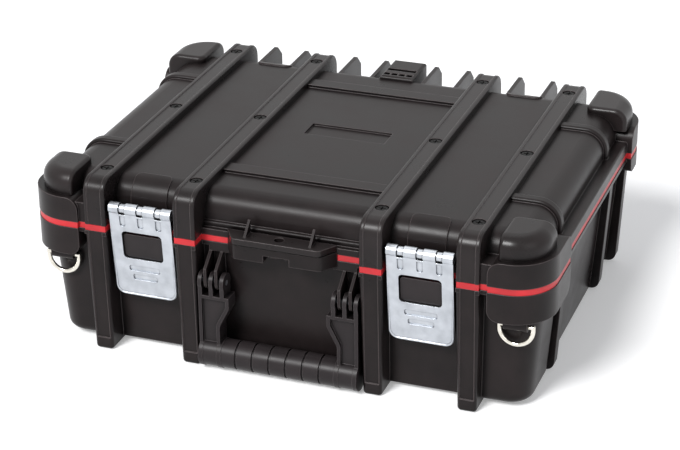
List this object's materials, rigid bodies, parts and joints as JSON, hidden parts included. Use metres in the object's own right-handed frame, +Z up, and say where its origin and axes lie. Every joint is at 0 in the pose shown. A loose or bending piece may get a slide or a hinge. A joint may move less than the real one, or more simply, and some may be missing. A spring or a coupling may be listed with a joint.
{
  "type": "tool case",
  "caption": "Moulded rectangular tool case with a hinged strapped lid, seal strip, two drop latches, folding carry handle, padlock tab, corner D-rings and skid ribs.",
  "frame": {"origin": "on the ground under the middle of the closed case's bounding box", "axes": "+X to the right seen from the front, -Y towards the front with the latches and handle, +Z up"},
  "size_m": [0.488, 0.395, 0.172],
  "materials": {
    "shell_plastic": "fine-grained moulded black",
    "seal_rubber": "smooth red",
    "black_steel": "blackened",
    "zinc_steel": "satin zinc plate",
    "nickel_wire": "bright nickel plate"
  },
  "bodies": {
    "base": {"base_shell": "shell_plastic", "rim_seal": "seal_rubber", "lock_block": "shell_plastic", "latch_catch_left": "shell_plastic", "latch_catch_right": "shell_plastic", "hinge_pins": "zinc_steel", "handle_pins": "zinc_steel"},
    "lid": {"lid_shell": "shell_plastic", "lid_strap_1": "shell_plastic", "lid_strap_2": "shell_plastic", "lid_strap_3": "shell_plastic", "lid_strap_4": "shell_plastic", "strap_screws": "black_steel", "corner_bumper_front_left": "shell_plastic", "corner_bumper_front_right": "shell_plastic", "corner_bumper_rear_left": "shell_plastic", "corner_bumper_rear_right": "shell_plastic", "rear_stand_block": "shell_plastic", "lock_tab": "shell_plastic", "latch_leaf_left": "zinc_steel", "latch_leaf_right": "zinc_steel", "latch_pin_left": "zinc_steel", "latch_pin_right": "zinc_steel", "latch_rivets": "zinc_steel"},
    "latch_left": {"latch_flap_left": "zinc_steel"},
    "latch_right": {"latch_flap_right": "zinc_steel"},
    "handle": {"carry_handle": "shell_plastic"},
    "ring_left": {"d_ring_left": "nickel_wire"},
    "ring_right": {"d_ring_right": "nickel_wire"}
  },
  "joints": [
    {"name": "lid_hinge", "type": "hinge", "parent": "base", "child": "lid", "pos_m": [0, 0.1865, 0.128], "axis": [-1, 0, 0], "range_deg": [0, 105]},
    {"name": "latch_left_hinge", "type": "hinge", "parent": "lid", "child": "latch_left", "pos_m": [-0.1305, -0.18545, 0.1458], "axis": [-1, 0, 0], "range_deg": [0, 120]},
    {"name": "latch_right_hinge", "type": "hinge", "parent": "lid", "child": "latch_right", "pos_m": [0.1305, -0.18545, 0.1458], "axis": [-1, 0, 0], "range_deg": [0, 120]},
    {"name": "handle_pivot", "type": "hinge", "parent": "base", "child": "handle", "pos_m": [0, -0.1835, 0.087], "axis": [-1, 0, 0], "range_deg": [0, 95]},
    {"name": "ring_left_swing", "type": "hinge", "parent": "base", "child": "ring_left", "pos_m": [-0.214, -0.178, 0.088], "axis": [-1, 0, 0], "range_deg": [0, 90]},
    {"name": "ring_right_swing", "type": "hinge", "parent": "base", "child": "ring_right", "pos_m": [0.214, -0.178, 0.088], "axis": [-1, 0, 0], "range_deg": [0, 90]}
  ]
}
